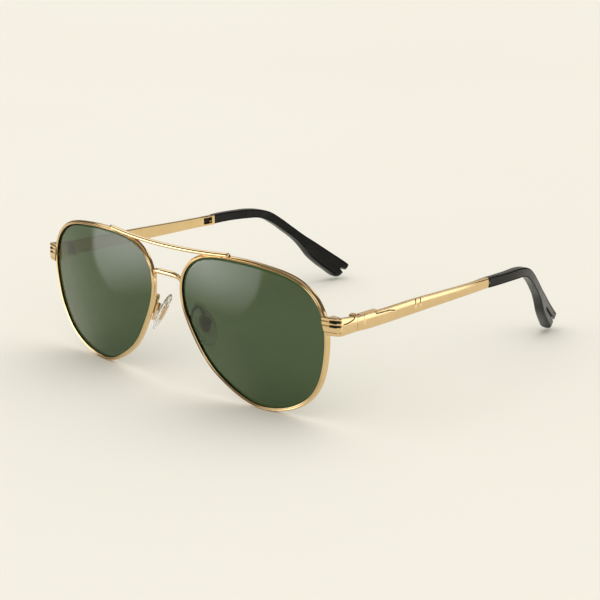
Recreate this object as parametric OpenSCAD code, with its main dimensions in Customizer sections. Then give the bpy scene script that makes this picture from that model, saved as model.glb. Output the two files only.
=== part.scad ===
// Metal aviator sunglasses. X runs across the face, the lenses face -Y and +Z is up.
// "left" is the wearer's left, on the +X side. Millimetres throughout.

/* [Lenses and rims] */
// Distance from the nose line to the middle of a lens
lens_x = 35.2; // [33:0.1:37]
// Height of the middle of a lens
lens_z = 24.7; // [22:0.1:27]
// Outline radii of a lens every 30 degrees, from the temple side up and over to the nose
lens_radii = [27.9, 28.9, 24.3, 22.25, 25.5, 30.3, 25.6, 21.9, 21, 22.7, 24.9, 27.2];
// Steps round a lens
lens_steps = 60; // [36:12:96]
// Radius of the gentle curve the lenses share
base_curve = 250; // [90:10:400]
// How fast the front sweeps back towards the temples
face_form = 0.094; // [0.05:0.001:0.15]
// How far the top of the front leans forward, in degrees
lean = 2.3; // [0:0.1:6]
// Thickness of a lens
lens_t = 1.2; // [1:0.1:1.6]
// Angle at which each rim is split for its closing block
split_angle = 15; // [5:1:25]

/* [Bridge and brow bar] */
// Height of the middle of the bridge bar
bridge_z = 38.3; // [36:0.1:41]
// Height of the bridge section
bridge_h = 2.2; // [1.4:0.1:2.6]
// Depth of the bridge section
bridge_t = 1.7; // [1.2:0.1:2.4]
// Height of the middle of the brow bar
brow_z = 47.4; // [46:0.1:50]
// Half the length of the brow bar
brow_half = 27.8; // [24:0.1:32]
// Radius of the brow bar
brow_r = 0.75; // [0.5:0.05:1]

/* [End pieces and hinges] */
// Outside of the end piece and temple at the hinge
side_x = 69; // [66:0.1:72]
// Wall of an end piece
end_t = 1.2; // [0.9:0.05:1.6]
// Where the end piece stops and the temple starts
seam_y = 15.4; // [13:0.1:18]
// Gap at that seam
seam_gap = 0.3; // [0.2:0.05:0.5]
// Distance of the hinge axis from the nose line
hinge_x = 66.1; // [64:0.1:67]
// Distance of the hinge axis behind the front
hinge_y = 16.4; // [14:0.1:18]
// Outside radius of a hinge knuckle
knuckle_r = 1.25; // [1:0.05:1.4]
// Height of one knuckle
knuckle_h = 1.4; // [1.2:0.1:2]
// Radius of the hinge screw
hinge_screw_r = 0.6; // [0.4:0.05:0.8]
// Radial clearance of a running fit
running = 0.05; // [0.02:0.01:0.1]

/* [Temples] */
// Where the metal of a temple ends and its tip starts
tip_y = 80; // [75:0.5:90]
// Thickness of a temple
temple_t = 1.4; // [1:0.1:2]
// Thickness of a temple tip where it starts
tip_t = 3.0; // [2.4:0.1:3.6]
// How much thicker the tip is at its end
tip_swell = 1.6; // [0:0.1:2.5]

/* [Nose pads] */
// Middle of the left nose pad
pad_at = [10.3, 7.4, 22];
// Length of a nose pad
pad_l = 14.6; // [12:0.1:17]
// Width of a nose pad
pad_w = 6.8; // [6:0.1:9]
// Thickness of a nose pad
pad_t = 2.4; // [1.8:0.1:3]
// Radius of the pad arm wire
arm_r = 0.5; // [0.4:0.05:0.7]

/* [Hidden] */
gold = [0.85, 0.70, 0.42];
steel = [0.75, 0.74, 0.70];
tint = [0.16, 0.24, 0.13, 0.6];
clear = [0.88, 0.88, 0.84, 0.5];
black = [0.09, 0.09, 0.09];
// Moves the whole part so the origin is the middle of its footprint
to_origin = [0, -67.91, -0.37];

// Lens and rim sections as [outwards from the outline, backwards from the front surface]
groove_w = 0.7;
rim_section = [[0, 0.2], [0.12, -0.05], [0.4, -0.28], [0.8, -0.3], [1.15, -0.05], [1.3, 0.35],
               [1.3, 0.95], [1.15, 1.3], [0.75, 1.48], [0.15, 1.4], [0, 1.2], [0.45, groove_w]];
lens_bevel = 0.3;
lens_gap = 0.15;

// End piece: the outside seen from above, its side outline and its three front grooves
end_path = [[63.1, 5.9], [65.6, 6.5], [67.6, 7.1], [68.5, 7.65], [68.95, 8.5], [side_x, 9.6],
            [side_x, seam_y - seam_gap / 2]];
end_side = [[4, 29.6], [9, 29.45], [16, 29.5], [16, 34], [9, 34.95], [4, 35.1]];
groove_z = [33.7, 32.1, 30.5];
groove_h = 0.45;
groove_depth = 0.3;
arc_line = [[9.7, 32.95], [11, 32.95], [12.4, 33.2], [13.8, 33.6], [14.7, 34.5]];

// Closing block of a rim
lock_x = [63.9, 66.4];
lock_y = [7.3, 10.3];
lock_z = [29.7, 34.6];
lock_split = 32.2;
lock_clear = 1;
lock_screw_at = [65.2, 9.3];
lock_screw_r = 0.5;

// Hinge, from the bottom knuckle up
hinge_z = 29.6;
knuckle_step = knuckle_h + 0.1;
leaf_x = [66.6, 67.85];

// Temple stations as [y, bottom z, top z], and the line its outside follows
temple_stations = [[15.55, 29.5, 34], [20, 29.2, 33.9], [29, 29, 33.65], [43, 29, 33.5],
                   [54, 28.95, 33.1], [68, 28.95, 32.6], [tip_y, 28.95, 32.4]];
temple_slope = -0.0434;
tail_stations = [[tip_y, 29.8, 31.5], [90, 29.8, 31.4], [96.2, 29.5, 31.1], [101, 28.9, 30.5],
                 [107.5, 25.4, 27.2], [112.6, 21.2, 23], [118, 16, 17.8]];
groove_y = [18.6, 42.8, 45.2];
hook_line = [[24, 33.6], [24.3, 33.1], [27, 32.95], [30.3, 32.8], [32.9, 32.1]];
window = [[76.5, 29.6], [79.6, 31.8]];
pin_at = [78.9, 30.2];
pin_r = 0.35;

// Temple tip: pairs of points on its upper and lower edges, [y, z]
tip_edges = [[[tip_y, 32.7], [tip_y, 28.8]], [[90, 32.3], [90, 28.8]], [[96.4, 31.9], [95.7, 28.6]],
             [[101.8, 31], [99.8, 28.2]], [[105.7, 29.5], [103.4, 27]], [[110, 26.4], [107.4, 24.3]],
             [[114, 22.9], [111, 21.2]], [[118.2, 19.2], [114.7, 17.8]], [[122.5, 15.8], [117.5, 14.3]],
             [[127.3, 11.9], [120.2, 10.2]], [[131.2, 8.8], [123.4, 6.8]], [[134.6, 6], [127, 3.6]],
             [[136.4, 4.6], [129.7, 1]], [[136.4, 3.5], [130.4, 0.05]]];
// Section of a tip as [from upper to lower edge, from outside to inside]
tip_section = [[0, 0.3], [0, 0.7], [0.12, 0.94], [0.5, 1], [0.88, 0.94], [1, 0.7], [1, 0.3],
               [0.88, 0.08], [0.62, 0.06], [0.45, 0], [0.12, 0.05]];
slot_from = [124.5, 11.8];
slot_to = [137, 2.1];
slot_r = 0.75;

// Nose pad frame: up its length, towards the nose, and across
pad_up = unit([-0.518, 0.072, 0.852]);
pad_in = square_to([-0.733, 0.476, -0.486], pad_up);
pad_side = cross(pad_up, pad_in);
box_size = [3, 2.5, 2.6];
box_wall = 0.6;
tab_clear = 0.1;
pad_screw_r = 0.4;
pivot = -pad_t / 2 - 1.5;
// Bends of the arm in that frame: from the rim, up and over, and down to the box
arm_path = [[4.5, -1.2, -1.55], [4.1, -1.4, 0.6], [3.65, -2, 2.75], [2.7, -2.7, 4.5], [1.4, -3.2, 5.3],
            [0.35, -3.7, 4.8], [0, -4, 3.2], [0, -4, 1.5], [0, -3.9, 0.3]];

function unit(v) = v / norm(v);
function square_to(v, axis) = unit(v - (v * axis) * axis);
function total(list, i = 0) = i < len(list) ? list[i] + total(list, i + 1) : 0;
function mean(points) = [for (axis = [0 : 2]) total([for (p = points) p[axis]]) / len(points)];
function turned(points) = [for (i = [len(points) - 1 : -1 : 0]) points[i]];

// Smooth closed curve through the outline radii
function kernel(a, n) = abs(sin(a / 2)) < 1e-6 ? 1 : sin(n * a / 2) / (n * tan(a / 2));
function outline_r(a) = total([for (k = [0 : 11]) lens_radii[k] * kernel(a - 30 * k, 12)]);
function outline(a) = [lens_x, lens_z] + outline_r(a) * [cos(a), sin(a)];
function outward(a) = let (t = unit(outline(a + 0.5) - outline(a - 0.5))) [t[1], -t[0]];
function front_y(x, z) = face_form * abs(x) + (pow(abs(x) - 32, 2) + pow(z - 27.3, 2)) / 2 / base_curve
                         - z * tan(lean);
function on_front(p, w) = [p[0], front_y(p[0], p[1]) + w, p[1]];
function rim_ring(a) = [for (s = rim_section) on_front(outline(a) + s[0] * outward(a), s[1])];
function lens_ring(shrink, out, w) =
    [for (i = [0 : lens_steps - 1])
        let (a = 360 * i / lens_steps, edge = outline(a) + out * outward(a))
            on_front([lens_x, lens_z] + shrink * (edge - [lens_x, lens_z]), w)];

// Outside of a temple and of its tip, measured across the face
function temple_x(y) = side_x + temple_slope * (y - seam_y);
function tip_x(y) = let (t = (y - tip_y) / 50)
    66.35 + 3.3 * t - 17.3 * t * t - 8.5 * pow(t, 3) + 9.5 * pow(t, 4);
function temple_ring(s, x, t) =
    let (y = s[0], low = s[1], high = s[2], h = high - low)
        [for (q = [[-0.35, 0], [-0.06, 0.14], [0, 0.55], [-0.06, 0.86], [-0.3, 1],
                   [-t + 0.1, 1], [-t, 0.9], [-t, 0.1], [-t + 0.1, 0]])
            [x + q[0], y, low + q[1] * h]];
function tail_ring(s, x) =
    [for (q = [[-0.9, 0], [-0.9, 1], [-2.1, 1], [-2.1, 0]]) [x + q[0], s[0], s[1] + q[1] * (s[2] - s[1])]];
function tip_ring(edge) =
    let (grow = max(0, (edge[1][0] - 98) / 30), thick = tip_t + tip_swell * pow(grow, 1.5))
        [for (q = tip_section)
            let (p = edge[0] + q[0] * (edge[1] - edge[0])) [tip_x(p[0]) - thick * q[1], p[0], p[1]]];

// Round wire section of a bar that bends in any direction
function wire_ring(path, i, r, n) =
    let (d = unit(path[min(i + 1, len(path) - 1)] - path[max(i - 1, 0)]),
         u = unit(cross(d, [0.3, 1, 0.1])), v = cross(d, u))
        [for (k = [0 : n - 1]) path[i] + r * (cos(360 * k / n) * u + sin(360 * k / n) * v)];

// Solid through a list of rings, each anticlockwise about the way the list runs
module loft(rings) {
    n = len(rings[0]);
    last = len(rings) - 1;
    points = concat([for (r = rings) for (p = r) p], [mean(rings[0])], [mean(rings[last])]);
    sides = [for (i = [0 : last - 1]) for (j = [0 : n - 1])
        let (a = i * n + j, b = i * n + (j + 1) % n) each [[a, a + n, b + n], [a, b + n, b]]];
    start = [for (j = [0 : n - 1]) [n * (last + 1), j, (j + 1) % n]];
    end = [for (j = [0 : n - 1]) [n * (last + 1) + 1, last * n + (j + 1) % n, last * n + j]];
    polyhedron(points, concat(sides, start, end), convexity = 6);
}

module wire(path, r, n = 8) loft([for (i = [0 : len(path) - 1]) wire_ring(path, i, r, n)]);

// Wall seen from above: the path's left-hand side shifted in by `from` and `to`
module band(path, from, to) {
    function side(i) = let (d = unit(path[min(i + 1, len(path) - 1)] - path[max(i - 1, 0)])) [-d[1], d[0]];
    function shifted(t) = [for (i = [0 : len(path) - 1]) path[i] + t * side(i)];
    polygon(concat(shifted(from), turned(shifted(to))));
}

// Line of a given width engraved in the outside of a temple, [y, z]
module engraved(path, x, depth, width)
    translate([x - depth, 0, 0]) rotate([90, 0, 90]) linear_extrude(depth + 1)
        band(path, -width / 2, width / 2);

module placed(left = true) translate(to_origin) mirror([left ? 0 : 1, 0, 0]) children();

module at_pad() {
    multmatrix([[pad_side[0], pad_in[0], pad_up[0], pad_at[0]],
                [pad_side[1], pad_in[1], pad_up[1], pad_at[1]],
                [pad_side[2], pad_in[2], pad_up[2], pad_at[2]], [0, 0, 0, 1]]) children();
}

module rim(left) color(gold) placed(left) {
    gap = 0.4;
    loft([for (i = [0 : lens_steps]) rim_ring(split_angle + gap + (360 - 2 * gap) * i / lens_steps)]);
}

module lens(left) color(tint) placed(left) {
    front = groove_w - lens_t / 2;
    back = groove_w + lens_t / 2;
    rings = concat([for (s = [0.35, 0.7, 1]) lens_ring(s, -lens_gap, back)],
                   [lens_ring(1, lens_bevel, groove_w)],
                   [for (s = [1, 0.7, 0.35]) lens_ring(s, -lens_gap, front)]);
    loft([for (r = rings) turned(r)]);
}

module bridge() color(gold) placed() {
    half = [[0, 0.5, bridge_z], [2.2, 0.52, bridge_z], [4.2, 0.6, bridge_z - 0.15],
            [5.5, 0.85, bridge_z - 0.6], [6.05, 1.2, bridge_z - 1.6], [6.2, 1.5, bridge_z - 3.3]];
    thin = [1, 1, 0.95, 0.85, 0.62, 0.42];
    path = concat([for (i = [5 : -1 : 1]) [-half[i][0], half[i][1], half[i][2]]], half);
    size = concat([for (i = [5 : -1 : 1]) thin[i]], thin);
    loft([for (i = [0 : len(path) - 1])
        let (d = unit(path[min(i + 1, 10)] - path[max(i - 1, 0)]), up = unit(cross(d, [0, 1, 0])))
            [for (k = [0 : 11])
                path[i] + bridge_h / 2 * size[i] * sin(30 * k) * up
                        - bridge_t / 2 * cos(30 * k) * [0, size[i], 0]]]);
}

module brow_bar() color(gold) placed() {
    steps = 18;
    body = [for (i = [0 : steps]) let (x = brow_half * (2 * i / steps - 1), q = pow(x / brow_half, 2))
        [x, 0.15 + 1.75 * q, brow_z + q]];
    loft(concat([wire_ring([body[0] - [0.4, 0, 0], body[1]], 0, 0.35, 10)],
                [for (i = [0 : steps]) wire_ring(body, i, brow_r, 10)],
                [wire_ring([body[steps - 1], body[steps] + [0.4, 0, 0]], 1, 0.35, 10)]));
}

module end_piece(left) color(gold) placed(left) difference() {
    intersection() {
        linear_extrude(40) band(end_path, 0, end_t);
        translate([60, 0, 0]) rotate([90, 0, 90]) linear_extrude(12) polygon(end_side);
    }
    for (z = groove_z)
        translate([0, 0, z - groove_h / 2]) linear_extrude(groove_h)
            band([for (i = [0 : 4]) end_path[i]], -0.5, groove_depth);
    engraved(arc_line, side_x, 0.2, 0.25);
    // Room for the edge of the lens
    translate([60, 6.75, 28]) cube([3.8, 3, 8]);
}

module rim_lock_upper(left) color(gold) placed(left) difference() {
    translate([lock_x[0], lock_y[0], lock_split + 0.1])
        cube([lock_x[1] - lock_x[0], lock_y[1] - lock_y[0], lock_z[1] - lock_split - 0.1]);
    translate([lock_screw_at[0], lock_screw_at[1], lock_z[0]])
        cylinder(r = lock_screw_r + running, h = 4.4, $fn = 32);
}

module rim_lock_lower(left) color(gold) placed(left) difference() {
    translate([lock_x[0], lock_y[0] + lock_clear, lock_z[0]])
        cube([lock_x[1] - lock_x[0], lock_y[1] - lock_y[0] - lock_clear, lock_split - 0.1 - lock_z[0]]);
    translate([lock_screw_at[0], lock_screw_at[1], lock_z[0] - 1])
        cylinder(r = lock_screw_r + running, h = 5, $fn = 32);
}

module screw(r, h, head_r, head_h) {
    difference() {
        cylinder(r = head_r, h = head_h, $fn = 32);
        translate([-head_r, -0.12, -0.1]) cube([2 * head_r, 0.24, head_h / 2 + 0.1]);
    }
    translate([0, 0, head_h / 2]) cylinder(r = r, h = h + head_h / 2, $fn = 32);
}

module rim_screw(left) color(steel) placed(left)
    translate([lock_screw_at[0], lock_screw_at[1], lock_z[0] - 0.5])
        screw(lock_screw_r, 4, 0.85, 0.5);

module knuckle(low, r = knuckle_r) difference() {
    union() {
        translate([hinge_x, hinge_y, low]) cylinder(r = r, h = knuckle_h, $fn = 48);
        children();
    }
    translate([hinge_x, hinge_y, low - 1])
        cylinder(r = hinge_screw_r + running, h = knuckle_h + 2, $fn = 32);
}

module hinge_front(left) color(gold) placed(left) {
    web = 0.6;
    web_end = hinge_y - 0.35;
    leaf = hinge_y - knuckle_r - 0.25;
    for (low = [hinge_z, hinge_z + 2 * knuckle_step])
        knuckle(low) translate([leaf_x[0], leaf - 0.1, low])
            cube([web, web_end - leaf + 0.1, knuckle_h]);
    translate([leaf_x[0], 10.6, hinge_z])
        cube([leaf_x[1] - leaf_x[0], leaf - 10.6, 2 * knuckle_step + knuckle_h]);
}

module hinge_rear(left) color(gold) placed(left) {
    low = hinge_z + knuckle_step;
    start = hinge_y + knuckle_r + 0.25;
    knuckle(low) translate([66.2, hinge_y, low]) cube([0.85, start - hinge_y + 0.1, knuckle_h]);
    translate([66.2, start, hinge_z]) cube([1.35, 25.3 - start, 4.4]);
}

module hinge_screw(left) color(steel) placed(left)
    translate([hinge_x, hinge_y, hinge_z + 2 * knuckle_step + knuckle_h + 0.3]) mirror([0, 0, 1])
        screw(hinge_screw_r, 4.3, 0.95, 0.3);

module pad_arm(left) color(gold) placed(left) at_pad() wire(arm_path, arm_r);

module pad_box(left) color(gold) placed(left) at_pad() difference() {
    translate([-box_size[0] / 2, pivot - 1.4, -box_size[2] / 2]) cube(box_size);
    translate([-box_size[0] / 2 + box_wall, pivot - 0.95, -box_size[2] / 2 - 1])
        cube([box_size[0] - 2 * box_wall, box_size[1], box_size[2] + 2]);
    translate([-5, pivot, 0]) rotate([0, 90, 0]) cylinder(r = pad_screw_r + 0.02, h = 10, $fn = 24);
}

module pad_screw(left) color(steel) placed(left) at_pad()
    translate([-box_size[0] / 2 - 0.4, pivot, 0]) rotate([0, 90, 0])
        screw(pad_screw_r, box_size[0], 0.65, 0.4);

module pad_insert(left) color(gold) placed(left) at_pad() {
    tab = box_size[0] - 2 * box_wall - 2 * tab_clear;
    difference() {
        union() {
            translate([-tab / 2, pivot, -0.8]) cube([tab, 1.6, 1.6]);
            translate([-tab / 2, pivot, 0]) rotate([0, 90, 0]) cylinder(r = 0.8, h = tab, $fn = 32);
        }
        translate([-5, pivot, 0]) rotate([0, 90, 0])
            cylinder(r = pad_screw_r + running, h = 10, $fn = 24);
    }
    translate([0, -pad_t / 2 + 0.5, 0]) rotate([90, 0, 0]) linear_extrude(0.5)
        polygon([for (k = [0 : 23]) [pad_w * 0.29 * cos(15 * k), pad_l * 0.33 * sin(15 * k)]]);
}

module nose_pad(left) color(clear) placed(left) at_pad() {
    layers = [[0.82, -0.5], [0.95, -0.38], [1, -0.1], [0.97, 0.15], [0.86, 0.35], [0.6, 0.47], [0.3, 0.5]];
    loft([for (q = layers) [for (k = [23 : -1 : 0])
        let (a = 15 * k, egg = 1 - 0.12 * sin(a))
            [pad_w / 2 * q[0] * egg * cos(a), pad_t * q[1], pad_l / 2 * q[0] * sin(a)]]]);
}

module temple(left) color(gold) placed(left) difference() {
    union() {
        loft([for (s = temple_stations) turned(temple_ring(s, temple_x(s[0]), temple_t))]);
        loft([for (s = concat([[tip_y - 0.5, 30.2, 32]], tail_stations)) turned(tail_ring(s, tip_x(s[0])))]);
    }
    for (y = groove_y)
        translate([temple_x(y) - 0.2, y - 0.15, 28]) cube([1, 0.3, 8]);
    engraved(hook_line, temple_x(29), 0.2, 0.3);
    translate([temple_x(window[0][0]) - temple_t - 1, window[0][0], window[0][1]])
        cube([1.3, window[1][0] - window[0][0], window[1][1] - window[0][1]]);
    translate([temple_x(pin_at[0]) - temple_t - 1, pin_at[0], pin_at[1]]) rotate([0, 90, 0])
        cylinder(r = pin_r + 0.02, h = 1.9, $fn = 24);
}

module tip_pin(left) color(steel) placed(left)
    translate([temple_x(pin_at[0]) - temple_t + 0.1, pin_at[0], pin_at[1]]) rotate([0, 90, 0])
        cylinder(r = pin_r, h = 0.8, $fn = 24);

module temple_tip(left) color(black) placed(left) difference() {
    loft([for (e = tip_edges) tip_ring(e)]);
    // Shallow slot along the paddle, running out at its end
    wire([for (p = [slot_from, slot_to]) [tip_x(p[0]) + 0.1, p[0], p[1]]], slot_r);
    translate([40, 137.1, 4.6]) rotate([0, 90, 0]) cylinder(r = 0.8, h = 20, $fn = 24);
    // Flat foot the tip stands on
    translate([40, 120, -to_origin[2] - 2]) cube([20, 20, 2]);
}

module both(name) {
    children(0);
    children(1);
}

both("rim") { rim(true); rim(false); }
both("lens") { lens(true); lens(false); }
bridge();
brow_bar();
both("end_piece") { end_piece(true); end_piece(false); }
both("rim_lock_upper") { rim_lock_upper(true); rim_lock_upper(false); }
both("rim_lock_lower") { rim_lock_lower(true); rim_lock_lower(false); }
both("rim_screw") { rim_screw(true); rim_screw(false); }
both("hinge_front") { hinge_front(true); hinge_front(false); }
both("hinge_rear") { hinge_rear(true); hinge_rear(false); }
both("hinge_screw") { hinge_screw(true); hinge_screw(false); }
both("pad_arm") { pad_arm(true); pad_arm(false); }
both("pad_box") { pad_box(true); pad_box(false); }
both("pad_screw") { pad_screw(true); pad_screw(false); }
both("pad_insert") { pad_insert(true); pad_insert(false); }
both("nose_pad") { nose_pad(true); nose_pad(false); }
both("temple") { temple(true); temple(false); }
both("temple_tip") { temple_tip(true); temple_tip(false); }
both("tip_pin") { tip_pin(true); tip_pin(false); }
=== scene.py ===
"""Looks of the metal aviator sunglasses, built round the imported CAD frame.

Shapes are worked out in millimetres in the design frame: x across the face, y back from the front
and z up, for the wearer's left side. placed() mirrors them where needed and puts them on the CAD.
"""
import math

import bmesh
import bpy
import numpy as np
from mathutils import Matrix, Vector


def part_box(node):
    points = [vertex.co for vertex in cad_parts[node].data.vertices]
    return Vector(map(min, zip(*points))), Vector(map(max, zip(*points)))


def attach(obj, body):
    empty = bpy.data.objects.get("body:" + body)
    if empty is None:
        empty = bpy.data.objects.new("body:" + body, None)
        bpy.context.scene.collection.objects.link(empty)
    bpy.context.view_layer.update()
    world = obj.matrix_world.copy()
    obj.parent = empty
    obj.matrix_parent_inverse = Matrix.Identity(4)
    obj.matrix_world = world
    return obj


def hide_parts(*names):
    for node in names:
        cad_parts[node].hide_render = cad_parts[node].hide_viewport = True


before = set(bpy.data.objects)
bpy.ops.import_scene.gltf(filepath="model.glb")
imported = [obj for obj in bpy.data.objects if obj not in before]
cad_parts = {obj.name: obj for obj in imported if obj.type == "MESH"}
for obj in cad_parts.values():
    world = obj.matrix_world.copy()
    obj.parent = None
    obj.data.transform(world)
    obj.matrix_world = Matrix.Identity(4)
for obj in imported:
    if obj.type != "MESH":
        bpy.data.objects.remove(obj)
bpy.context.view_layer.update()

MM = 0.001
SIDES = {"left": 1, "right": -1}

# Lens outline: its middle, and its radius every 30 degrees from the temple side up and over
LENS_AT = np.array([35.2, 24.7])
LENS_RADII = np.array([27.9, 28.9, 24.3, 22.25, 25.5, 30.3, 25.6, 21.9, 21, 22.7, 24.9, 27.2])

# Face of the frame: its sweep back per mm from the middle, the radius of its bowl and where that is
# centred, and its lean
FACE_FORM = 0.094
BASE_CURVE = 250
CURVE_AT = [32, 27.3]
LEAN = math.radians(2.3)

# Where the rim is split, as an angle round the lens, and half of the gap there
SPLIT = math.radians(15)
SPLIT_GAP = math.radians(0.4)

# Rim section, [out of the outline, back from the front], from the lens side round over the front
RIM_SECTION = [[0.45, 0.95], [0.05, 0.62], [0.02, 0.3], [0.1, 0.02], [0.24, -0.17], [0.42, -0.27],
               [0.6, -0.13], [0.82, -0.3], [1.08, -0.14], [1.25, 0.15], [1.3, 0.5], [1.28, 0.9],
               [1.18, 1.22], [0.95, 1.42], [0.6, 1.49], [0.2, 1.46], [0.02, 1.38]]
# Section points from the lens side that take the dark material: painted shade on the groove wall next
# to the lens
PAINTED_SHADE_WALL_POINTS = 8

# Lens: depths of its front, its back and its bevel's ridge at the rim, how far it domes forward, how
# far inside the outline its faces end, and how far outside it the ridge reaches
LENS_FRONT = 0.5
LENS_BACK = 1.4
LENS_EDGE = 0.95
LENS_BULGE = 1.9
LENS_INSET = 0.1
LENS_REACH = 0.38

# Side of the frame, from the end piece back to the tip
SIDE_X = 69
SEAM_Y = 15.4
SEAM_GAP = 0.1
TIP_Y = 80
HINGE_Y = 16.4
HINGE_TOP = 34.3
END_PATH = [[63.1, 5.9], [65.6, 6.5], [67.6, 7.1], [68.5, 7.65], [68.95, 8.5], [SIDE_X, 9.6],
            [SIDE_X, 11.5], [SIDE_X, SEAM_Y - SEAM_GAP / 2]]
END_THICK = 1.2
END_LOW = [[4, 29.6], [9, 29.45], [16, 29.5]]
END_HIGH = [[4, 35.1], [9, 34.95], [16, 34]]
END_SLANT = 1.3

# Flutes round the end piece: height, depth, and how much wider each gets at the corner
FLUTES = [[33.9, 0.34, 0.48], [32.55, 0.3, 0.34], [30.6, 0.08, 0]]
FLUTE_HALF = 0.2
FLUTE_END = 7.1
FLUTE_FADE = 0.6
# Painted shade in the flutes round the corner: where a flute and the corner both pass these levels,
# the flute turns dark
FLUTE_SHADE_LEVEL = 0.22
CORNER_AT = 4.6
CORNER_REACH = 2.1
CORNER_SHADE_LEVEL = 0.55

# Engraved lines: [y, z] points, depth, half width, and half width of the lacquer in them
ARC_LINE = [[9.7, 32.95], [11, 32.95], [12.4, 33.2], [13.8, 33.6], [14.7, 34.5]]
ARC_DEPTH, ARC_HALF, ARC_INK = 0.14, 0.24, 0.1
HOOK_LINE = [[24, 33.7], [24.1, 33.15], [27, 32.95], [30.3, 32.8], [32.9, 32.1]]
HOOK_DEPTH, HOOK_HALF, HOOK_INK = 0.13, 0.26, 0.09

# Temple bar, with upright grooves {y: depth}, of which two are inked above a height
TEMPLE_LOW = [[15.55, 29.5], [20, 29.2], [29, 29], [43, 29], [TIP_Y, 28.95]]
TEMPLE_HIGH = [[15.55, 34], [20, 33.9], [29, 33.65], [43, 33.5], [54, 33.1], [68, 32.6],
               [TIP_Y, 32.4]]
TEMPLE_SLOPE = -0.0434
TEMPLE_THICK = 1.4
TEMPLE_GROOVES = {18.6: 0.1, 42.8: 0.16, 45.2: 0.16}
GROOVE_HALF = 0.24
INKED_GROOVES = [42.8, 45.2]
INK_HALF = 0.1
INK_FROM_Z = 31.6
ENGRAVED_TO_Y = 47
WINDOW = [[75.5, 29.6], [79.2, 31.9]]
WINDOW_DEPTH = 0.45
WINDOW_WALL = 0.12
FLARE = 0.6
FLARE_FROM_Y = 70
FLARE_RUN = 7

# Tip edges as [y, z]: the upper one runs down the back of the paddle, the lower one its front
TIP_UPPER = [[TIP_Y, 32.45], [85, 32.4], [90, 32.2], [96.4, 31.9], [101.8, 31], [105.7, 29.5],
             [110, 26.4], [114, 22.9], [118.2, 19.2], [122.5, 15.8], [127.3, 11.9], [131.2, 8.8],
             [134.6, 6], [136.4, 4.2]]
TIP_LOWER = [[TIP_Y, 29.05], [85, 29], [90, 28.9], [95.7, 28.6], [99.8, 28.2], [103.4, 27],
             [107.4, 24.3], [111, 21.2], [114.7, 17.8], [117.5, 14.3], [120.2, 10.2], [123.4, 6.8],
             [127, 3.6], [130.2, 0.45]]

# Outer face of the tip: the x of its polynomial, for steps of 50 mm back from its front end
TIP_BOW = [66.35, 3.3, -17.3, -8.5, 9.5]
TIP_BOW_STEP = 50

# Tip thickness: at its front end, then what it gains, each over a stretch [from y, over]
TIP_THIN = 2.1
TIP_GAIN, TIP_GAINS_OVER = 0.9, [82, 13]
PADDLE_GAIN, PADDLE_GAINS_OVER = 1.6, [98, 30]
PADDLE_BACK_THINNER, PADDLE_THINS_OVER = 0.25, [100, 10]

# Cuts in the tip; the border's and the ribs' sizes across the tip are shares of its width
SLOT_LINE = [[123.7, 10.8], [134.8, 2.1]]
SLOT_DEPTH = 0.9
SLOT_HALF = 0.65
COLLAR_AT = TIP_Y + 0.4
COLLAR_DEPTH = 0.25
COLLAR_HALF = 0.45
BORDER_DEPTH = 0.26
BORDER_AT = 0.1
BORDER_HALF = 0.035
RIB_DEPTH = 0.1
RIB_PITCH = 0.09
RIBS_HALF = 0.31

# End of the paddle, as shares of its width, from back to front, and of the tip's length
NOTCH_AT, NOTCH_HALF, NOTCH_DEPTH = 0.44, 0.1, 0.045
BACK_CORNER, BACK_CUT = 0.24, 0.032
FRONT_CORNER, FRONT_CUT = 0.38, 0.036
END_SKEW = 0.03
END_SHAPED_OVER = [0.8, 0.2]
BULLNOSE, BULLNOSE_THINS = 0.045, 0.75

# Bars between the rims; the bridge's half has a thickness for each of its points
BRIDGE_Z = 38.3
BRIDGE_HALF = [[0, 0.5, 0], [2.2, 0.52, 0], [4.2, 0.6, -0.15], [5.5, 0.85, -0.6],
               [6.05, 1.2, -1.6], [6.2, 1.5, -3.3]]
BRIDGE_THIN = [1, 1, 0.95, 0.85, 0.62, 0.42]
BRIDGE_SIZE = [1.6, 1.85]
BROW_HALF = 27.8
BROW_Z = 47.4
BROW_FRONT = 0.15
BROW_SWEEP = 1.75
BROW_SAG = 1
BROW_R = 0.75
BROW_END = [[0.05, 0.26], [0.36, 0.36], [0.35, 0.52], [0.12, 0.7]]

# Nose pads: their middle, their frame, and the arm's bends and the core's stages in that frame
PAD_AT = np.array([10.3, 7.4, 22])
PAD_SIZE = np.array([6.8, 2.4, 14.6])
PAD_UP = np.array([-0.518, 0.072, 0.852])
PAD_IN = np.array([-0.733, 0.476, -0.486])
PAD_EGG = 0.12
ARM_R = 0.5
ARM_PATH = [[4.5, -1.2, -1.55], [4.1, -1.4, 0.6], [3.65, -2, 2.75], [2.7, -2.7, 4.5],
            [1.4, -3.2, 5.3], [0.35, -3.7, 4.8], [0, -4, 3.2], [0, -4, 1.5], [0, -3.9, 0.3]]
CORE_STAGES = [[-2.2, 0.55, 0.55], [-2.1, 0.7, 0.7], [-1.35, 0.7, 0.7], [-1.2, 1.6, 2.8],
               [-1.1, 1.75, 3], [-0.8, 1.75, 3], [-0.7, 1.6, 2.8]]

# Camera: where it aims, in the design frame, and from which direction
AIM = [0.04, 60, 16.6]
AZIMUTH = math.radians(45.12)
ELEVATION = math.radians(15.97)
ROLL = math.radians(-0.9)
DISTANCE = 661.3
LENS_MM = 116.9

screw_low, screw_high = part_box("hinge_screw_left")
SHIFT = np.array([0, (screw_low.y + screw_high.y) / 2 / MM - HINGE_Y, screw_high.z / MM - HINGE_TOP])


def placed(points, side=1):
    """Design-frame points, in millimetres, where the CAD has them, in metres."""
    return (np.asarray(points, float) * [side, 1, 1] + SHIFT) * MM


def unit(v):
    """The direction of a vector, as a vector of length 1."""
    return v / np.linalg.norm(v)


def circle(count):
    """Angles of this many points round a circle."""
    return np.linspace(0, 2 * math.pi, count, endpoint=False)


def rise(value, start, run):
    """0 up to start, then straight up to 1 over the run."""
    return np.clip((value - start) / run, 0, 1)


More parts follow.
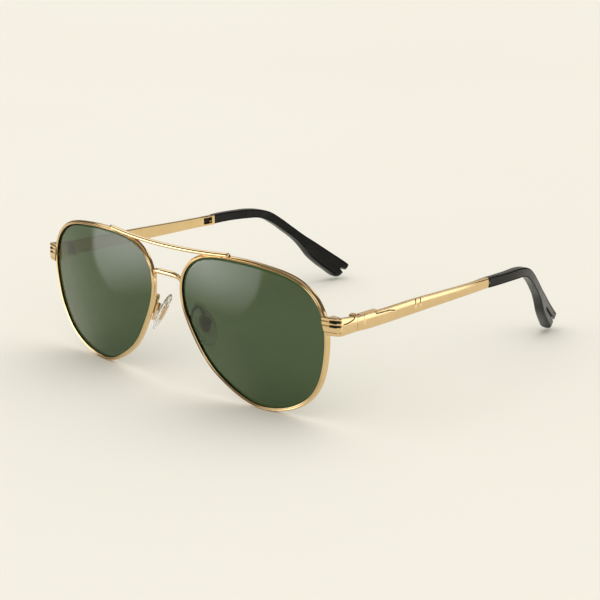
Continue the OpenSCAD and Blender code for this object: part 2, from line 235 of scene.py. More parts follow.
def spline(points, steps=8):
    """Points of a smooth curve through the given ones, steps to a span."""
    p = np.array(points, float)
    p = np.concatenate([[2 * p[0] - p[1]], p, [2 * p[-1] - p[-2]]])
    t = (np.arange(steps) / steps)[:, None]
    spans = []
    for a, b, c, d in zip(p, p[1:], p[2:], p[3:]):
        bend = 2 * a - 5 * b + 4 * c - d
        twist = 3 * b - a - 3 * c + d
        spans.append(0.5 * (2 * b + (c - a) * t + bend * t**2 + twist * t**3))
    return np.concatenate(spans + [p[-2:-1]])


def along(points, position):
    """A smooth curve's second value where its first is position."""
    p = spline(points)
    return np.interp(position, p[:, 0], p[:, 1])


def line_distance(y, z, path):
    """Distance of each (y, z) from a line of straight stretches."""
    best = np.full(np.broadcast(y, z).shape, 1e9)
    for (ay, az), (by, bz) in zip(path, path[1:]):
        dy, dz = by - ay, bz - az
        t = np.clip(((y - ay) * dy + (z - az) * dz) / (dy * dy + dz * dz), 0, 1)
        best = np.minimum(best, np.hypot(y - ay - t * dy, z - az - t * dz))
    return best


def quarter_round(t):
    """0 up to t = 0, then rising like a quarter of a circle to 1 at t = 1."""
    return 1 - np.sqrt(1 - np.clip(t, 0, 1) ** 2)


def groove(distance, half_width):
    """1 in the middle of a groove, falling smoothly to 0 at its edge."""
    t = np.clip(1 - distance / half_width, 0, 1)
    return t * t * (3 - 2 * t)


# Materials ---------------------------------------------------------------------------------------


def new_material(name, **values):
    """A Principled material with the values that are the same all over it."""
    mat = bpy.data.materials.new(name)
    mat.use_nodes = True
    shader = mat.node_tree.nodes["Principled BSDF"]
    for key, value in values.items():
        shader.inputs[key.replace("_", " ")].default_value = value
    return mat, shader


def noise(mat, scale, detail=4, stretch=(1, 1, 1)):
    """A noise texture's value output over the object, with features of about 1/scale metres."""
    nodes, links = mat.node_tree.nodes, mat.node_tree.links
    place = nodes.new("ShaderNodeTexCoord")
    mapping = nodes.new("ShaderNodeMapping")
    mapping.inputs["Scale"].default_value = stretch
    texture = nodes.new("ShaderNodeTexNoise")
    texture.inputs["Scale"].default_value = scale
    texture.inputs["Detail"].default_value = detail
    links.new(place.outputs["Object"], mapping.inputs["Vector"])
    links.new(mapping.outputs["Vector"], texture.inputs["Vector"])
    return texture.outputs["Fac"]


def spread(mat, value, low, high, start=0.35, end=0.65):
    """value, from start to end, mapped to low to high."""
    node = mat.node_tree.nodes.new("ShaderNodeMapRange")
    for key, number in zip(("From Min", "From Max", "To Min", "To Max"), (start, end, low, high)):
        node.inputs[key].default_value = number
    mat.node_tree.links.new(value, node.inputs["Value"])
    return node.outputs["Result"]


def calculated(mat, operation, *values):
    """What a maths node makes of values, each of them an output or a number."""
    node = mat.node_tree.nodes.new("ShaderNodeMath")
    node.operation = operation
    for socket, value in zip(node.inputs, values):
        if isinstance(value, bpy.types.NodeSocket):
            mat.node_tree.links.new(value, socket)
        else:
            socket.default_value = value
    return node.outputs[0]


def blend_colours(mat, factor, first, second):
    """A mix of two colours, each of them an output or (red, green, blue)."""
    node = mat.node_tree.nodes.new("ShaderNodeMix")
    node.data_type = "RGBA"
    for socket, colour in zip([s for s in node.inputs if s.type == "RGBA"], (first, second)):
        if isinstance(colour, tuple):
            socket.default_value = (*colour, 1)
        else:
            mat.node_tree.links.new(colour, socket)
    mat.node_tree.links.new(factor, node.inputs["Factor"])
    return next(s for s in node.outputs if s.type == "RGBA")


def mottled(mat, scale, detail, first, second):
    """A colour that drifts between two in patches of about 1/scale metres."""
    return blend_colours(mat, spread(mat, noise(mat, scale, detail), 0, 1), first, second)


def bumped(mat, shader, height, strength, depth):
    """Adds relief that follows a height output, with its depth in millimetres."""
    node = mat.node_tree.nodes.new("ShaderNodeBump")
    node.inputs["Strength"].default_value = strength
    node.inputs["Distance"].default_value = depth * MM
    mat.node_tree.links.new(height, node.inputs["Height"])
    mat.node_tree.links.new(node.outputs["Normal"], shader.inputs["Normal"])


def edge_wear(mat, value_on_edges, value_elsewhere):
    """A value that changes on raised edges, where handling polishes the surface."""
    geometry = mat.node_tree.nodes.new("ShaderNodeNewGeometry")
    return spread(mat, geometry.outputs["Pointiness"], value_elsewhere, value_on_edges, 0.52, 0.6)


def metal(name, first, second, rough_low, rough_high, brushed=(1, 1, 1), grain=0.08):
    """Plated metal: uneven plating, finger marks, hairline scratches and polished edges."""
    mat, shader = new_material(name, Metallic=1, Specular_IOR_Level=0.5)
    links = mat.node_tree.links
    links.new(mottled(mat, 260, 4, first, second), shader.inputs["Base Color"])
    marks = spread(mat, noise(mat, 420, 6), rough_low, rough_high)
    polished = calculated(mat, "MULTIPLY", marks, edge_wear(mat, 0.6, 1))
    links.new(polished, shader.inputs["Roughness"])
    bumped(mat, shader, noise(mat, 1800, 8, brushed), grain, 0.02)
    return mat


def lens_glass():
    """Dark green sun lens with an uneven tint and a few faint smears."""
    mat, shader = new_material("green_lens_glass", Transmission_Weight=1, IOR=1.42)
    links = mat.node_tree.links
    tint = mottled(mat, 18, 2, (0.052, 0.09, 0.034), (0.06, 0.1, 0.04))
    links.new(tint, shader.inputs["Base Color"])
    links.new(spread(mat, noise(mat, 120, 5), 0, 0.006, 0.5, 0.75), shader.inputs["Roughness"])
    return mat


def black_tip():
    """Moulded black acetate: satin, with fine flow lines and rubbed edges."""
    mat, shader = new_material("black_acetate", Specular_IOR_Level=0.24, Coat_Weight=0.05,
                               Coat_Roughness=0.15)
    links = mat.node_tree.links
    tone = mottled(mat, 300, 5, (0.003, 0.003, 0.003), (0.007, 0.007, 0.006))
    rubbed = blend_colours(mat, edge_wear(mat, 1, 0), tone, (0.03, 0.03, 0.028))
    links.new(rubbed, shader.inputs["Base Color"])
    sheen = spread(mat, noise(mat, 700, 5, (1, 0.15, 0.4)), 0.18, 0.3)
    links.new(sheen, shader.inputs["Roughness"])
    bumped(mat, shader, noise(mat, 2600, 6, (1, 0.2, 0.4)), 0.05, 0.03)
    return mat


def clear_silicone():
    """Soft clear silicone, slightly milky, with a faintly uneven skin."""
    mat, shader = new_material("clear_silicone", Transmission_Weight=0.9, IOR=1.4)
    links = mat.node_tree.links
    milk = mottled(mat, 500, 4, (0.97, 0.96, 0.93), (0.9, 0.89, 0.85))
    links.new(milk, shader.inputs["Base Color"])
    links.new(spread(mat, noise(mat, 900, 5), 0.005, 0.04), shader.inputs["Roughness"])
    bumped(mat, shader, noise(mat, 1500, 5), 0.03, 0.02)
    return mat


def pad_metal():
    """Dull brass of the plates inside the pads, half hidden by the milky silicone round them."""
    mat, shader = new_material("pad_brass", Metallic=0.35, Specular_IOR_Level=0.4)
    links = mat.node_tree.links
    tone = mottled(mat, 600, 5, (0.8, 0.44, 0.13), (0.88, 0.52, 0.18))
    links.new(tone, shader.inputs["Base Color"])
    links.new(spread(mat, noise(mat, 900, 5), 0.3, 0.45), shader.inputs["Roughness"])
    return mat


def lacquer_and_painted_shade():
    """Lacquer in the engraved lines; painted shade in the lens groove, corner flutes, brow dimples
    and window.
    """
    mat, shader = new_material("lacquer_and_painted_shade", Specular_IOR_Level=0.2)
    links = mat.node_tree.links
    tone = mottled(mat, 900, 5, (0.006, 0.005, 0.003), (0.02, 0.014, 0.007))
    links.new(tone, shader.inputs["Base Color"])
    links.new(spread(mat, noise(mat, 1200, 4), 0.25, 0.4), shader.inputs["Roughness"])
    return mat


GOLD = metal("polished_gold", (0.74, 0.535, 0.28), (0.78, 0.575, 0.31), 0.06, 0.14)
SATIN = metal("satin_gold", (0.8, 0.58, 0.29), (0.84, 0.62, 0.32), 0.3, 0.42, (0.2, 6, 6), 0.2)
STEEL = metal("screw_metal", (0.78, 0.6, 0.33), (0.85, 0.68, 0.42), 0.18, 0.32)
GLASS = lens_glass()
BLACK = black_tip()
CLEAR = clear_silicone()
BRASS = pad_metal()
# Dark material: lacquer in the engraved lines, painted shade in grooves and hollows
LACQUER_AND_SHADE = lacquer_and_painted_shade()


# Mesh pieces -------------------------------------------------------------------------------------


def grid_piece(name, grid, body, materials, replaces, side=1, pick=None, sharp=40):
    """A closed surface through rings of points, grid[ring, point], standing for a CAD node.
    pick gives each face between two rings its material, by its place in the list."""
    rings, count = grid.shape[:2]
    mesh = bpy.data.meshes.new(name)
    ids = np.arange(rings * count).reshape(rings, count)
    here, ahead = ids[:-1], ids[1:]
    quads = np.stack([here, ahead, np.roll(ahead, -1, axis=1), np.roll(here, -1, axis=1)], -1)
    faces = quads.reshape(-1, 4).tolist() + [ids[0].tolist(), ids[-1][::-1].tolist()]
    mesh.from_pydata(placed(grid.reshape(-1, 3), side).tolist(), [], faces)
    for mat in materials:
        mesh.materials.append(mat)
    if pick is not None:
        chosen = np.zeros(len(faces), np.int32)
        chosen[: pick.size] = pick.ravel()
        mesh.polygons.foreach_set("material_index", chosen)
    finish_mesh(mesh, sharp)
    obj = bpy.data.objects.new(name, mesh)
    bpy.context.scene.collection.objects.link(obj)
    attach(obj, body)
    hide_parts(replaces)


def finish_mesh(mesh, sharp):
    """Outward faces, smooth shading, and hard edges where it turns more than sharp degrees."""
    bm = bmesh.new()
    bm.from_mesh(mesh)
    bmesh.ops.recalc_face_normals(bm, faces=bm.faces)
    for face in bm.faces:
        face.smooth = len(face.verts) == 4
    for edge in bm.edges:
        edge.smooth = edge.is_manifold and edge.calc_face_angle(0) < math.radians(sharp)
    bm.to_mesh(mesh)
    bm.free()


def outline(angles):
    """Points of the lens outline at these angles, and the directions out of it."""
    count = len(LENS_RADII)

    def at(a):
        """Points of the smooth closed curve that sines and cosines draw through the radii."""
        half = (a[:, None] - circle(count)) / 2
        half = np.where(np.abs(np.sin(half)) < 1e-6, 1e-6, half)
        radius = (np.sin(count * half) / (count * np.tan(half))) @ LENS_RADII
        return LENS_AT + radius[:, None] * np.stack([np.cos(a), np.sin(a)], 1)

    ahead = at(angles + 0.01) - at(angles - 0.01)
    ahead /= np.linalg.norm(ahead, axis=1)[:, None]
    return at(angles), np.stack([ahead[:, 1], -ahead[:, 0]], 1)


def on_front(flat, back):
    """Points at [x, z] of the frame's front, this far back from its curved face."""
    x, z = flat[..., 0], flat[..., 1]
    bowl = ((np.abs(x) - CURVE_AT[0]) ** 2 + (z - CURVE_AT[1]) ** 2) / 2 / BASE_CURVE
    face = FACE_FORM * np.abs(x) + bowl - z * math.tan(LEAN)
    return np.stack([x, face + back, z], -1)


def rim(side_name, side):
    """The grooved wire round a lens, open at the closing block."""
    section = np.concatenate([RIM_SECTION[:1], spline(RIM_SECTION[1:], 3)])
    angles = np.linspace(SPLIT + SPLIT_GAP, SPLIT + 2 * math.pi - SPLIT_GAP, 260)
    edge, out = outline(angles)
    flat = edge[:, None] + section[None, :, :1] * out[:, None]
    # The groove wall next to the lens is dark: painted shade where the wire meets the lens
    wall = np.arange(len(section)) < PAINTED_SHADE_WALL_POINTS
    pick = np.broadcast_to(wall, (len(angles) - 1, len(section)))
    grid_piece(f"rim_wire_{side_name}", on_front(flat, section[:, 1]), "front", [GOLD, LACQUER_AND_SHADE],
               f"rim_{side_name}", side, pick)


def lens(side_name, side):
    """A domed lens held in the rim's groove, widest in the middle of its edge, where the bevel is."""
    edge, out = outline(circle(180))
    shares = np.linspace(0.03, 1, 26)
    # Each ring: its share of the outline's size, its reach past that, and its depth
    rings = [(share, -LENS_INSET, LENS_FRONT) for share in shares]
    rings += [(1, 0.06, LENS_FRONT + 0.12), (1, LENS_REACH, LENS_EDGE), (1, 0.06, LENS_BACK - 0.12)]
    rings += [(share, -LENS_INSET, LENS_BACK) for share in shares[::-1]]
    grid = []
    for share, reach, depth in rings:
        flat = LENS_AT + share * (edge + reach * out - LENS_AT)
        dome = LENS_BULGE * (1 - share**2) ** 1.2
        grid.append(on_front(flat, depth - dome))
    grid_piece(f"sun_lens_{side_name}", np.array(grid), "front", [GLASS],
               f"lens_{side_name}", side, sharp=50)


def tube_grid(path, ahead, radii, count, hint=(0.3, 1, 0.1)):
    """Rings round a path that runs ahead: radii gives their size across and along the hint."""
    turns = circle(count)[:, None]
    rings = []
    for p, d, (across, beside) in zip(path, ahead, radii):
        u = unit(np.cross(d, hint))
        v = unit(np.cross(d, u))
        rings.append(p + across * np.cos(turns) * u + beside * np.sin(turns) * v)
    return np.array(rings)


def bridge():
    """The low bar between the lenses, thinner where its ends curl down onto the rims."""
    half = np.array(BRIDGE_HALF) + [0, 0, BRIDGE_Z]
    path = spline(np.concatenate([(half * [-1, 1, 1])[:0:-1], half]), 6)
    thin = spline(np.array([BRIDGE_THIN[:0:-1] + BRIDGE_THIN]).T, 6)[:, 0]
    radii = np.stack([thin * BRIDGE_SIZE[1] / 2, thin * BRIDGE_SIZE[0] / 2], 1)
    grid = tube_grid(path, np.gradient(path, axis=0), radii, 28, (0, 1, 0))
    grid_piece("bridge_bar", grid, "front", [GOLD], "bridge")


def brow_bar():
    """A bar that bows forward and down in the middle, with a small drilled dimple in each end."""
    x = np.linspace(-BROW_HALF, BROW_HALF, 70)
    share = (x / BROW_HALF) ** 2
    path = np.stack([x, BROW_FRONT + BROW_SWEEP * share, BROW_Z + BROW_SAG * share], 1)
    ahead = np.gradient(path, axis=0)
    steps, radii = np.array(BROW_END).T
    end = unit(path[-1] - path[-2])
    left = path[0] + steps[:, None] * end * [-1, 1, 1]
    right = path[-1] + steps[::-1, None] * end
    ahead = np.pad(ahead, ((len(steps), len(steps)), (0, 0)), "edge")
    radii = np.concatenate([radii, np.full(len(x), BROW_R), radii[::-1]])
    grid = tube_grid(np.concatenate([left, path, right]), ahead, np.stack([radii, radii], 1), 24)
    pick = np.zeros((len(grid) - 1, 24), int)
    # The end dimples' walls take the dark material: painted shade in the hollows
    pick[[0, -1]] = 1
    grid_piece("brow_wire", grid, "front", [GOLD, LACQUER_AND_SHADE], "brow_bar", pick=pick)


def wall_section(thick, outer_points, inner_points, crown, corner):
    """A flat bar's section from its outer low corner round, with a crowned outer face.
    Each point is (inwards, share of the height, is outer, is inner)."""
    up = np.linspace(0.04, 0.96, outer_points)
    down = np.linspace(0.95, 0.05, inner_points)
    across = [corner, thick / 2, thick - 0.12]
    face = [(crown * (2 * v - 1) ** 4 + 0.4 * crown * (2 * v - 1) ** 2, v, 1, 0) for v in up]
    top = [(depth, 1, 0, 0) for depth in across]
    back = [(thick, v, 0, 1) for v in down]
    base = [(depth, 0, 0, 0) for depth in across[::-1]]
    return np.array(face + top + back + base).T


def end_piece(side_name, side):
    """The plate that wraps from the rim to the hinge, with fluted lines round its corner."""
    path = spline(END_PATH, 12)
    run = np.concatenate([[0], np.cumsum(np.linalg.norm(np.diff(path, axis=0), axis=1))])
    ahead = np.gradient(path, axis=0)
    ahead /= np.linalg.norm(ahead, axis=1)[:, None]
    inwards, share, outer, _ = wall_section(END_THICK, 90, 6, 0.1, 0.3)
    begin = END_SLANT * (1 - share) ** 2
    s = begin + (run[-1] - begin) * np.linspace(0, 1, 190)[:, None]
    x, y = np.interp(s, run, path[:, 0]), np.interp(s, run, path[:, 1])
    nx, ny = np.interp(s, run, -ahead[:, 1]), np.interp(s, run, ahead[:, 0])
    low, high = along(END_LOW, y), along(END_HIGH, y)
    z = low + share * (high - low)
    corner = np.clip(1 - np.abs(s - CORNER_AT) / CORNER_REACH, 0, 1) ** 0.25
    arc = np.where(x > SIDE_X - 0.3, line_distance(y, z, ARC_LINE), 1e9)
    cut = ARC_DEPTH * groove(arc, ARC_HALF)
    dark = arc < ARC_INK
    for height, depth, widening in FLUTES:
        flute = groove(np.abs(z - height), FLUTE_HALF + widening * corner)
        cut += depth * flute * rise(FLUTE_END - s, 0, FLUTE_FADE)
        # Painted shade: the widened flutes turn dark round the corner
        dark |= (flute > FLUTE_SHADE_LEVEL) & (corner > CORNER_SHADE_LEVEL) & (widening > 0)
    depth = inwards + cut * outer
    grid = np.stack([x + nx * depth, y + ny * depth, z], -1)
    pick = (dark & (outer > 0))[:-1]
    grid_piece(f"end_plate_{side_name}", grid, "front", [GOLD, LACQUER_AND_SHADE],
               f"end_piece_{side_name}", side, pick, sharp=55)


def temple(side_name, side):
    """A flat metal temple: crowned and engraved outside, satin inside with a small window."""
    inwards, share, outer, inner = wall_section(TEMPLE_THICK, 44, 30, 0.16, 0.34)
    y = np.concatenate([np.linspace(SEAM_Y + SEAM_GAP / 2, ENGRAVED_TO_Y, 330),
                        np.linspace(ENGRAVED_TO_Y + 0.3, WINDOW[0][0] + 0.3, 90),
                        np.linspace(WINDOW[0][0] + 0.5, TIP_Y + 0.4, 60)])
    y = y[:, None] + 0 * share
    low, high = along(TEMPLE_LOW, y), along(TEMPLE_HIGH, y)
    z = low + share * (high - low)
    hook = line_distance(y, z, HOOK_LINE)
    cut = HOOK_DEPTH * groove(hook, HOOK_HALF)
    for at, depth in TEMPLE_GROOVES.items():
        cut += depth * groove(np.abs(y - at), GROOVE_HALF)
    dark = hook < HOOK_INK
    for at in INKED_GROOVES:
        dark |= (np.abs(y - at) < INK_HALF) & (z > INK_FROM_Z)
    (y0, z0), (y1, z1) = WINDOW
    inside = np.minimum(np.minimum(y - y0, y1 - y), np.minimum(z - z0, z1 - z))
    flare = FLARE * rise(y, FLARE_FROM_Y, FLARE_RUN) ** 2
    window = (WINDOW_DEPTH + flare) * rise(inside, 0, WINDOW_WALL)
    depth = inwards * (1 + flare / TEMPLE_THICK) + cut * outer - window * inner
    front = SIDE_X + TEMPLE_SLOPE * (y - SEAM_Y)
    grid = np.stack([front - depth, y, z], -1)
    # Inside, the window's floor takes the dark material, painted shade in the recess; outside, the
    # engraved lines keep their lacquer
    dark = np.where(inner > 0, inside > 0.1, dark & (outer > 0))
    pick = np.where(dark, 2, inner)[:-1]
    grid_piece(f"temple_bar_{side_name}", grid, f"temple_arm_{side_name}", [GOLD, SATIN, LACQUER_AND_SHADE],
               f"temple_{side_name}", side, pick, sharp=50)


def tip_ring():
    """The tip's section, as shares of its width and thickness, and which face a point is on:
    1 for the outer one, -1 for the inner one and 0 for the edges."""
    turn = np.radians([30, 60])
    edge = [(0.94 + 0.06 * math.sin(a), 0.16 * (1 - math.cos(a)), 0) for a in turn]
    half = [(s, 0, 1) for s in np.linspace(0.06, 0.94, 64)] + edge
    half += [(1, 0.2, 0), (1, 0.5, 0), (1, 0.8, 0)]
    half += [(s, 1 - q, 0) for s, q, _ in edge[::-1]]
    return np.concatenate([half, [1, 1, 0] - np.array(half)]).T


def temple_tip(side_name, side):
    """A black tip: a rounded bar that bends down into a ribbed paddle with a slot and a notch."""
    s, q, facing = tip_ring()
    u = np.linspace(0, 1, 260)[:, None]
    notch = NOTCH_DEPTH * np.sqrt(np.clip(1 - ((s - NOTCH_AT) / NOTCH_HALF) ** 2, 0, 1))
    corners = BACK_CUT * quarter_round((BACK_CORNER - s) / BACK_CORNER)
    corners += FRONT_CUT * quarter_round((s - 1 + FRONT_CORNER) / FRONT_CORNER)
    reach = 1 - notch - END_SKEW * (1 - s) - corners
    level = u * (1 + (reach - 1) * rise(u, *END_SHAPED_OVER))
    upper, lower = spline(TIP_UPPER, 16), spline(TIP_LOWER, 16)
    stations = np.arange(len(upper))
    at = level * stations[-1]
    (y_up, z_up), (y_low, z_low) = [[np.interp(at, stations, line) for line in edge.T]
                                    for edge in (upper, lower)]
    y = y_up + s * (y_low - y_up)
    z = z_up + s * (z_low - z_up)
    paddle = rise(y_low, *PADDLE_THINS_OVER)
    grown = np.clip((y_low - PADDLE_GAINS_OVER[0]) / PADDLE_GAINS_OVER[1], 0, None) ** 1.5
    thick = TIP_THIN + TIP_GAIN * rise(y_low, *TIP_GAINS_OVER) + PADDLE_GAIN * grown
    thick = thick * (1 - PADDLE_BACK_THINNER * paddle * (1 - s))
    slot = SLOT_DEPTH * groove(line_distance(y, z, SLOT_LINE), SLOT_HALF)
    edges = np.minimum(np.abs(s - BORDER_AT), np.abs(s - 1 + BORDER_AT))
    border = BORDER_DEPTH * groove(edges, BORDER_HALF)
    wave = 0.5 + 0.5 * np.cos(2 * math.pi * s / RIB_PITCH)
    ribs = RIB_DEPTH * paddle * wave * (np.abs(s - 0.5) < RIBS_HALF)
    collar = COLLAR_DEPTH * groove(np.abs(y - COLLAR_AT), COLLAR_HALF)
    cut = np.where(facing > 0, slot + border, np.where(facing < 0, -border - ribs, 0))
    rounding = 1 - BULLNOSE_THINS * quarter_round((u - 1 + BULLNOSE) / BULLNOSE)
    inwards = thick / 2 + (q - 0.5) * thick * rounding + cut + collar * facing
    t = (y - TIP_Y) / TIP_BOW_STEP
    outside = sum(bow * t**power for power, bow in enumerate(TIP_BOW))
    grid_piece(f"tip_sleeve_{side_name}", np.stack([outside - inwards, y, z], -1),
               f"temple_arm_{side_name}", [BLACK], f"temple_tip_{side_name}",
               side, sharp=38)


def in_pad_frame(local):
    """Points given across the pad, towards the nose and up its length, in the design frame."""
    up = unit(PAD_UP)
    inward = unit(PAD_IN - (PAD_IN @ up) * up)
    return PAD_AT + local @ np.array([np.cross(up, inward), inward, up])


def pad_rings(stages, egg=0):
    """Oval rings across the pad, each stage being (depth, half width, half length)."""
    turns = circle(48 if egg else 40)
    width = np.cos(turns) * (1 - egg * np.sin(turns))
    rings = [np.stack([a * width, np.full(len(turns), depth), b * np.sin(turns)], 1)
             for depth, a, b in stages]
    return in_pad_frame(np.array(rings))


def nose_pad(side_name, side):
    """A soft egg-shaped pad, thicker in the middle and rounded at its rim."""
    stages = []
    for level in np.radians(np.linspace(-87, 87, 21)):
        size = math.cos(level) ** 0.55 / 2
        stages.append((PAD_SIZE[1] * math.sin(level) / 2, PAD_SIZE[0] * size, PAD_SIZE[2] * size))
    grid_piece(f"silicone_pad_{side_name}", pad_rings(stages, PAD_EGG), f"pad_{side_name}",
               [CLEAR], f"nose_pad_{side_name}", side, sharp=60)


def pad_plate(side_name, side):
    """The metal stem and oval plate that the silicone is moulded round."""
    grid_piece(f"pad_plate_{side_name}", pad_rings(CORE_STAGES), f"pad_{side_name}", [BRASS],
               f"pad_insert_{side_name}", side, sharp=35)


def pad_arm(side_name, side):
    """The looped wire that carries the pad box."""
    path = in_pad_frame(spline(ARM_PATH, 6))
    radii = np.full((len(path), 2), ARM_R)
    radii[[0, -1]] *= 0.75
    grid = tube_grid(path, np.gradient(path, axis=0), radii, 16)
    grid_piece(f"pad_wire_{side_name}", grid, "front", [GOLD], f"pad_arm_{side_name}", side)


def dress(node, mat, bevel):
    """A CAD node kept as it is, with its edges eased and a finished material."""
    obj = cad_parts[node]
    obj.data.materials.clear()
    obj.data.materials.append(mat)
    ease = obj.modifiers.new("eased_edges", "BEVEL")
    ease.width = bevel * MM
    ease.segments = 3
    ease.limit_method = "ANGLE"
    ease.angle_limit = math.radians(40)
    ease.harden_normals = True


# CAD nodes that show as they are: material, slot and bevel
KEPT_NODES = {
    "rim_lock_upper": (GOLD, "gold", 0.12),
    "rim_lock_lower": (GOLD, "gold", 0.12),
    "rim_screw": (STEEL, "screw_steel", 0.05),
    "hinge_front": (GOLD, "gold", 0.08),
    "hinge_rear": (GOLD, "gold", 0.08),
    "hinge_screw": (STEEL, "screw_steel", 0.05),
    "pad_box": (GOLD, "gold", 0.1),
    "pad_screw": (STEEL, "screw_steel", 0.04),
    "tip_pin": (STEEL, "screw_steel", 0.04),
}


# Set ---------------------------------------------------------------------------------------------


def floor():
    """A large pale sheet under the glasses."""
    mat, shader = new_material("pale_paper", Roughness=0.9, Specular_IOR_Level=0)
    links = mat.node_tree.links
    tone = mottled(mat, 3, 3, (0.78, 0.755, 0.685), (0.79, 0.768, 0.698))
    links.new(tone, shader.inputs["Base Color"])
    bumped(mat, shader, noise(mat, 900, 3), 0.03, 0.02)
    bpy.ops.mesh.primitive_grid_add(x_subdivisions=8, y_subdivisions=8, size=14)
    sheet = bpy.context.object
    sheet.name = "floor"
    sheet.data.materials.append(mat)


def glossy_only(obj):
    """Leaves a light to be mirrored by shiny surfaces, without lighting the matt ones."""
    obj.visible_camera = False
    obj.visible_diffuse = False
    obj.visible_transmission = False
    obj.visible_shadow = False


def put(name, data, at, aim):
    """An object at a place in the design frame, with its -Z towards another."""
    obj = bpy.data.objects.new(name, data)
    bpy.context.scene.collection.objects.link(obj)
    obj.location = Vector(placed(at))
    obj.rotation_euler = (Vector(placed(aim)) - obj.location).to_track_quat("-Z", "Y").to_euler()
    return obj


def soft_box(name, at, aim, size, radiance, colour):
    """An evenly bright soft box that shows in the metal."""
    light = bpy.data.lights.new(name, "AREA")
    light.shape = "RECTANGLE"
    light.size, light.size_y = size[0] * MM, size[1] * MM
    light.energy = radiance * math.pi * light.size * light.size_y
    light.color = colour
    glossy_only(put(name, light, at, aim))


def card_glow(name, size, radiance):
    """A see-through glow over a round card: brightest in its middle, fading towards its foot."""
    mat = bpy.data.materials.new(name)
    mat.use_nodes = True
    nodes, links = mat.node_tree.nodes, mat.node_tree.links
    nodes.clear()
    place = nodes.new("ShaderNodeTexCoord")
    mapping = nodes.new("ShaderNodeMapping")
    mapping.inputs["Scale"].default_value = (2 / size[0] / MM, 2 / size[1] / MM, 1)
    falloff = nodes.new("ShaderNodeTexGradient")
    falloff.gradient_type = "SPHERICAL"
    split = nodes.new("ShaderNodeSeparateXYZ")
    links.new(place.outputs["Object"], mapping.inputs["Vector"])
    links.new(mapping.outputs["Vector"], falloff.inputs["Vector"])
    links.new(mapping.outputs["Vector"], split.inputs["Vector"])
    disc = spread(mat, falloff.outputs["Fac"], 0, 0.4 * radiance, 0, 0.08)
    glow = spread(mat, falloff.outputs["Fac"], 0, 0.6 * radiance, 0, 0.9)
    foot = spread(mat, split.outputs["Y"], 0, 1, -0.85, -0.1)
    light = nodes.new("ShaderNodeEmission")
    clear = nodes.new("ShaderNodeBsdfTransparent")
    both = nodes.new("ShaderNodeAddShader")
    output = nodes.new("ShaderNodeOutputMaterial")
    strength = calculated(mat, "MULTIPLY", calculated(mat, "ADD", disc, glow), foot)
    links.new(strength, light.inputs["Strength"])
    links.new(light.outputs["Emission"], both.inputs[0])
    links.new(clear.outputs["BSDF"], both.inputs[1])
    links.new(both.outputs["Shader"], output.inputs["Surface"])
    return mat


def round_card(name, at, aim, size, radiance):
    """A round reflector, cut off a little above its middle, that shows in the lenses."""
    half_x, half_y = size[0] * MM / 2, size[1] * MM / 2
    top = 0.2 * half_y
    mesh = bpy.data.meshes.new(name)
    corners = [(-half_x, -half_y, 0), (half_x, -half_y, 0), (half_x, top, 0), (-half_x, top, 0)]
    mesh.from_pydata(corners, [], [(0, 1, 2, 3)])
    mesh.materials.append(card_glow(name, size, radiance))
    card = put(name, mesh, at, aim)
    glossy_only(card)


def daylight():
    """Broad soft light from high behind the glasses, so that their shadow falls forwards."""
    light = bpy.data.lights.new("daylight", "SUN")
    light.energy = 0.45
    light.angle = math.radians(55)
    light.color = (1, 0.985, 0.95)
    put("daylight", light, (-260, 270, 900), (0, 0, 0)).visible_glossy = False


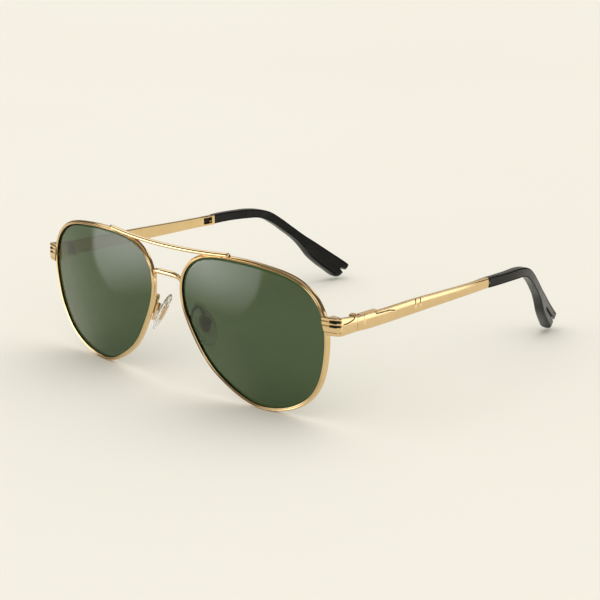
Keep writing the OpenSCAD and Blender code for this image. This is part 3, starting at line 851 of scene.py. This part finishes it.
def sky():
    """Even light on matt surfaces, and a bright ceiling over dim walls for shiny ones to mirror."""
    world = bpy.data.worlds.new("studio")
    bpy.context.scene.world = world
    world.use_nodes = True
    nodes, links = world.node_tree.nodes, world.node_tree.links
    even = nodes["Background"]
    even.inputs["Color"].default_value = (1, 0.99, 0.96, 1)
    even.inputs["Strength"].default_value = 1.025
    mirrored = nodes.new("ShaderNodeBackground")
    place = nodes.new("ShaderNodeTexCoord")
    split = nodes.new("ShaderNodeSeparateXYZ")
    ramp = nodes.new("ShaderNodeValToRGB")
    path = nodes.new("ShaderNodeLightPath")
    mix = nodes.new("ShaderNodeMixShader")
    stops = ramp.color_ramp.elements
    stops[0].color = (0.75, 0.72, 0.65, 1)
    stops[1].color = (0.6, 0.6, 0.58, 1)
    stops.new(0.06).color = (0.17, 0.145, 0.11, 1)
    stops.new(0.8).color = (0.11, 0.09, 0.075, 1)
    mirror_only = calculated(world, "MULTIPLY", path.outputs["Is Glossy Ray"],
                             path.outputs["Is Reflection Ray"])
    links.new(place.outputs["Generated"], split.inputs["Vector"])
    links.new(split.outputs["Z"], ramp.inputs["Fac"])
    links.new(ramp.outputs["Color"], mirrored.inputs["Color"])
    links.new(mirror_only, mix.inputs["Fac"])
    links.new(even.outputs["Background"], mix.inputs[1])
    links.new(mirrored.outputs["Background"], mix.inputs[2])
    links.new(mix.outputs["Shader"], nodes["World Output"].inputs["Surface"])


def camera():
    """A long lens that looks down on the glasses from their front left."""
    level = math.cos(ELEVATION)
    back = Vector((math.sin(AZIMUTH) * level, -math.cos(AZIMUTH) * level, math.sin(ELEVATION)))
    data = bpy.data.cameras.new("camera")
    data.sensor_width = 36
    data.lens = LENS_MM
    data.clip_start, data.clip_end = 0.02, 50
    obj = bpy.data.objects.new("camera", data)
    bpy.context.scene.collection.objects.link(obj)
    turn = (-back).to_track_quat("-Z", "Y").to_matrix().to_4x4() @ Matrix.Rotation(ROLL, 4, "Z")
    obj.matrix_world = Matrix.Translation(Vector(placed(AIM)) + back * DISTANCE * MM) @ turn
    bpy.context.scene.camera = obj


for side_name, side in SIDES.items():
    for make in (rim, lens, end_piece, temple, temple_tip, nose_pad, pad_plate, pad_arm):
        make(side_name, side)
    for node, (mat, slot, bevel) in KEPT_NODES.items():
        dress(f"{node}_{side_name}", mat, bevel)
bridge()
brow_bar()

floor()
sky()
camera()
daylight()
round_card("lens_card", (-56, -63, 43), (0, 0, 43), (114, 104), 5)
soft_box("temple_box", (150, 110, 36), (0, 110, 36), (140, 70), 1.06, (0.85, 0.93, 1))
soft_box("ridge_box", (80, 460, 350), (0, 60, 20), (220, 120), 1.8, (1, 0.98, 0.93))
soft_box("upper_box", (-680, 120, 660), (0, 0, 30), (860, 380), 1.3, (0.92, 0.97, 1))
soft_box("back_box", (-620, 700, 290), (0, 60, 30), (500, 300), 0.5, (1, 0.98, 0.93))
soft_box("front_box", (560, -620, 560), (0, 40, 30), (800, 500), 1.2, (0.95, 0.98, 1))
bpy.context.scene.view_settings.view_transform = "Standard"
